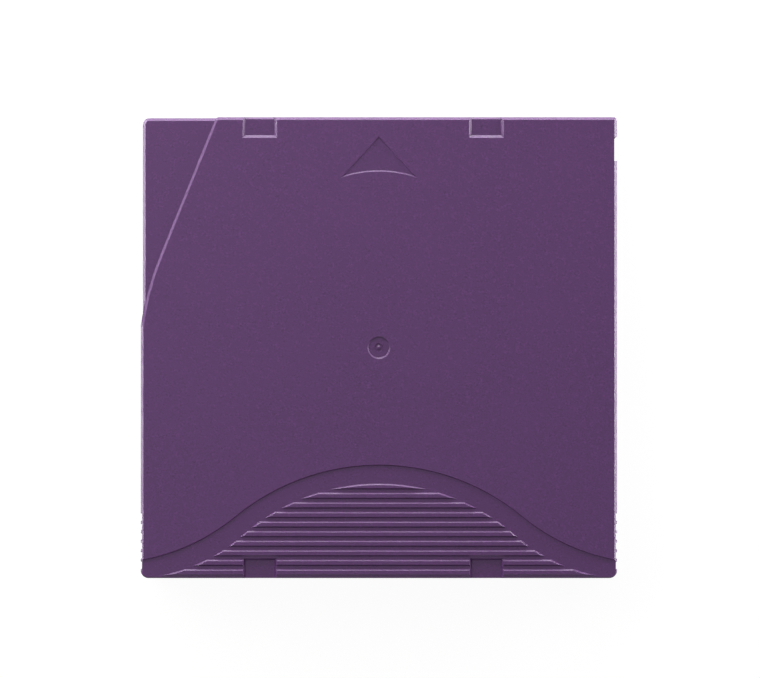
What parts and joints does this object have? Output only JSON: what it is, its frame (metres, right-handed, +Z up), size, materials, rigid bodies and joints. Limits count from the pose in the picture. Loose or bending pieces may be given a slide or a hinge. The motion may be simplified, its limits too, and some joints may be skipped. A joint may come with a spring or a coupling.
{
  "type": "data tape cartridge",
  "caption": "Flat square single-reel tape cartridge with ribbed grip, sliding tape door, write-protect slider and locked reel.",
  "frame": {"origin": "on the bottom plane, on the axis of the reel, which is the middle of the case's outline", "axes": "+Z up through the roof, +Y towards the end that enters the drive, +X towards the tape door; the label end is at -Y"},
  "size_m": [0.1054, 0.102, 0.0215],
  "materials": {
    "case_plastic": "fine moulded texture, deep purple",
    "door_plastic": "fine moulded texture, deep purple",
    "slider_plastic": "satin, red",
    "screw_steel": "zinc plated",
    "circuit_board": "solder resist, green",
    "chip_resin": "black moulded resin",
    "pin_steel": "polished stainless steel",
    "clip_plastic": "natural white resin",
    "leader_film": "pale polyester film",
    "spring_steel": "bright drawn wire",
    "brake_plastic": "natural white resin",
    "release_plastic": "natural white resin",
    "reel_plastic": "satin white resin",
    "flange_plastic": "satin white resin",
    "plate_steel": "bright stamped steel",
    "magnetic_tape": "wound tape, near black"
  },
  "bodies": {
    "case": {"upper_case": "case_plastic", "lower_case": "case_plastic", "case_screws": "screw_steel", "memory_board": "circuit_board", "memory_chip": "chip_resin", "leader_pin": "pin_steel", "leader_pin_clip": "clip_plastic", "leader_tape": "leader_film", "lower_pin_spring": "spring_steel", "upper_pin_spring": "spring_steel", "door_spring": "spring_steel", "brake_spring": "spring_steel"},
    "door": {"door": "door_plastic"},
    "write_protect": {"write_protect_tab": "slider_plastic"},
    "brake": {"brake_button": "brake_plastic"},
    "release": {"release_plate": "release_plastic"},
    "reel": {"reel_hub": "reel_plastic", "reel_upper_flange": "flange_plastic", "reel_plate": "plate_steel", "tape_pack": "magnetic_tape"}
  },
  "joints": [
    {"name": "door_slide", "type": "slide", "parent": "case", "child": "door", "axis": [0, -1, 0], "range_m": [0, 0.0175], "stiffness_N_per_m": 30, "springref_m": -0.012, "deforming": ["door_spring"]},
    {"name": "write_protect_slide", "type": "slide", "parent": "case", "child": "write_protect", "axis": [1, 0, 0], "range_m": [0, 0.0044]},
    {"name": "brake_lift", "type": "slide", "parent": "case", "child": "brake", "axis": [0, 0, 1], "range_m": [0, 0.003], "stiffness_N_per_m": 400, "springref_m": -0.006, "deforming": ["brake_spring", "leader_tape"]},
    {"name": "reel_spin", "type": "hinge", "parent": "brake", "child": "release", "pos_m": [0, 0, 0.0048], "axis": [0, 0, 1], "continuous": true},
    {"name": "reel_seat", "type": "slide", "parent": "release", "child": "reel", "axis": [0, 0, 1], "range_m": [-0.0017, 0]}
  ],
  "couplings": [
    {"joint": "reel_seat", "follows": "brake_lift", "ratio": -0.55}
  ]
}
